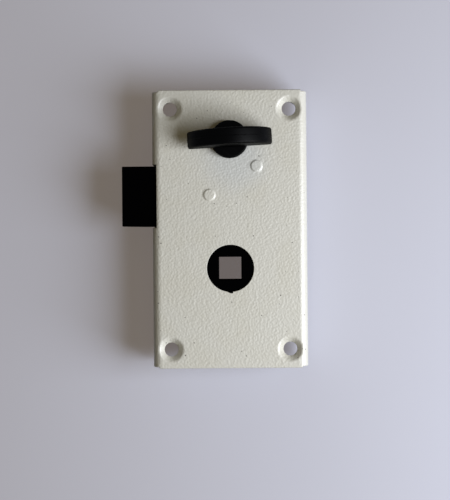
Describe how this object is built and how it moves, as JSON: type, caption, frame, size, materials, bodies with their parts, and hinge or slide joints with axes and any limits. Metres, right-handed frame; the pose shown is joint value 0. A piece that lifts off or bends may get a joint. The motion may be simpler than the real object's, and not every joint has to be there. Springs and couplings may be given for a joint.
{
  "type": "rim door lock",
  "caption": "Surface-mounted door lock: flat painted case, bevelled spring latch, follower for a square spindle and a half-moon thumbturn.",
  "frame": {"origin": "centre of the four fixing holes, on the plane that lies on the door", "axes": "+Z out of the door through the lock's face, +Y towards the thumbturn, the latch points along -X"},
  "size_m": [0.0667, 0.1, 0.0345],
  "materials": {
    "cream_paint": "cream paint with a fine grain",
    "black_plastic": "moulded, satin",
    "plated_steel": "zinc plated",
    "spring_steel": "oiled spring wire"
  },
  "bodies": {
    "case": {"case_cap": "cream_paint", "back_pan": "cream_paint", "guide_pillar": "plated_steel", "upper_pillar": "plated_steel", "lower_pillar": "plated_steel", "pillar_spacers": "plated_steel", "back_screws": "plated_steel", "latch_spring": "spring_steel", "spring_guide_rod": "plated_steel", "spring_bracket": "plated_steel", "bracket_rivets": "plated_steel", "follower_washer": "spring_steel", "thumb_washer": "spring_steel"},
    "latch": {"latch_head": "black_plastic", "latch_tail": "plated_steel", "latch_pins": "plated_steel"},
    "follower": {"follower_hub": "black_plastic"},
    "thumbturn": {"thumbturn_knob": "black_plastic", "snib_cam": "plated_steel", "cam_screw": "plated_steel"},
    "snib": {"snib_slide": "plated_steel", "snib_stud": "plated_steel"}
  },
  "joints": [
    {"name": "latch_slide", "type": "slide", "parent": "case", "child": "latch", "axis": [1, 0, 0], "range_m": [0, 0.011], "stiffness_N_per_m": 180, "springref_m": -0.012, "deforming": ["latch_spring"]},
    {"name": "follower_turn", "type": "hinge", "parent": "case", "child": "follower", "pos_m": [0, -0.0141, 0], "axis": [0, 0, 1], "range_deg": [-40, 0]},
    {"name": "thumbturn_turn", "type": "hinge", "parent": "case", "child": "thumbturn", "pos_m": [0, 0.0321, 0], "axis": [0, 0, 1], "range_deg": [0, 90]},
    {"name": "snib_travel", "type": "slide", "parent": "case", "child": "snib", "axis": [0, -1, 0], "range_m": [0, 0.00566]}
  ],
  "couplings": [
    {"joint": "follower_turn", "follows": "latch_slide", "rad_per_m": -63.46},
    {"joint": "thumbturn_turn", "follows": "snib_travel", "rad_per_m": 277.67}
  ]
}
